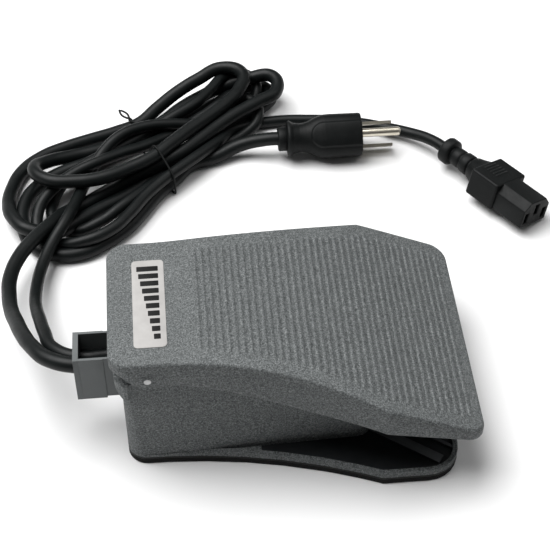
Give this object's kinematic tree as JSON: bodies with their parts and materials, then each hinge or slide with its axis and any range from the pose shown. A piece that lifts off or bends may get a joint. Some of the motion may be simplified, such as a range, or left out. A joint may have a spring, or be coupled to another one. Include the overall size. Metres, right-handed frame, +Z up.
{
  "type": "foot pedal speed control",
  "caption": "Cast foot pedal with a flared ribbed treadle hinged on a hollow base with a low front tray, a cord box at the hinge end, and cords to a mains plug and an appliance connector.",
  "frame": {"origin": "centre of the pedal's footprint on the floor, without the cords", "axes": "+X from the hinge end to the lip, +Y across the treadle towards the coiled cord, +Z up"},
  "size_m": [0.2934, 0.2945, 0.0707],
  "materials": {
    "hammertone_paint": "grey hammertone enamel on a zinc casting, satin with fine dimples",
    "black_steel": "black painted steel sheet",
    "pad_rubber": "dense black rubber, matt",
    "bright_steel": "zinc plated steel",
    "box_plastic": "grey moulded plastic, satin",
    "label_stock": "white laminated label with a printed black border",
    "cord_jacket": "black flexible PVC jacket with a low sheen",
    "moulded_black": "black overmoulded PVC, fine satin",
    "contact_metal": "nickel washed brass contacts",
    "board_green": "green solder mask",
    "terminal_green": "green moulded terminal block",
    "capacitor_yellow": "yellow film capacitor case",
    "choke_orange": "enamelled wire on a toroid",
    "heat_sink_alloy": "extruded aluminium",
    "triac_black": "black epoxy package",
    "pot_blue": "moulded potentiometer case",
    "nylon_white": "natural nylon"
  },
  "bodies": {
    "base": {"base_casting": "hammertone_paint", "bottom_plate": "black_steel", "floor_pad": "pad_rubber", "bottom_screw_1": "bright_steel", "bottom_screw_2": "bright_steel", "bottom_screw_3": "bright_steel", "bottom_screw_4": "bright_steel", "hinge_pin": "bright_steel", "cord_box": "box_plastic", "cord_box_plate": "box_plastic", "cord_box_screw_1": "bright_steel", "cord_box_screw_2": "bright_steel", "cord_clamp": "nylon_white", "circuit_board": "board_green", "board_standoff_1": "nylon_white", "board_standoff_2": "nylon_white", "board_standoff_3": "nylon_white", "board_standoff_4": "nylon_white", "terminal_block": "terminal_green", "capacitor": "capacitor_yellow", "choke": "choke_orange", "heat_sink": "heat_sink_alloy", "triac": "triac_black", "pot_bracket": "bright_steel", "pot_body": "pot_blue", "spring_seat": "nylon_white", "return_spring": "bright_steel", "stop_bumper": "pad_rubber", "mains_cord_lead": "cord_jacket", "mains_cord_tail": "cord_jacket", "tool_cord_lead": "cord_jacket", "tool_cord_tail": "cord_jacket", "cord_hank": "cord_jacket", "cord_tie": "moulded_black", "mains_plug": "moulded_black", "plug_relief": "moulded_black", "plug_blade_1": "contact_metal", "plug_blade_2": "contact_metal", "plug_ground_pin": "contact_metal", "tool_connector": "moulded_black", "connector_relief": "moulded_black", "connector_contact_1": "contact_metal", "connector_contact_2": "contact_metal", "connector_contact_3": "contact_metal"},
    "treadle": {"treadle": "hammertone_paint", "label_plate": "label_stock", "sector_gear": "nylon_white", "sector_screw_1": "bright_steel", "sector_screw_2": "bright_steel"},
    "pot_rotor": {"pot_shaft": "bright_steel", "pinion": "nylon_white"}
  },
  "joints": [
    {"name": "treadle_hinge", "type": "hinge", "parent": "base", "child": "treadle", "pos_m": [-0.05765, 0, 0.0592], "axis": [0, 1, 0], "range_deg": [0, 7.5], "stiffness_Nm_per_rad": 6, "springref_deg": -11.46, "deforming": ["return_spring"]},
    {"name": "pot_turn", "type": "hinge", "parent": "base", "child": "pot_rotor", "pos_m": [-0.00426, 0.008, 0.02041], "axis": [0, 1, 0], "range_deg": [-75, 0]}
  ],
  "couplings": [
    {"joint": "pot_turn", "follows": "treadle_hinge", "ratio": -10}
  ]
}
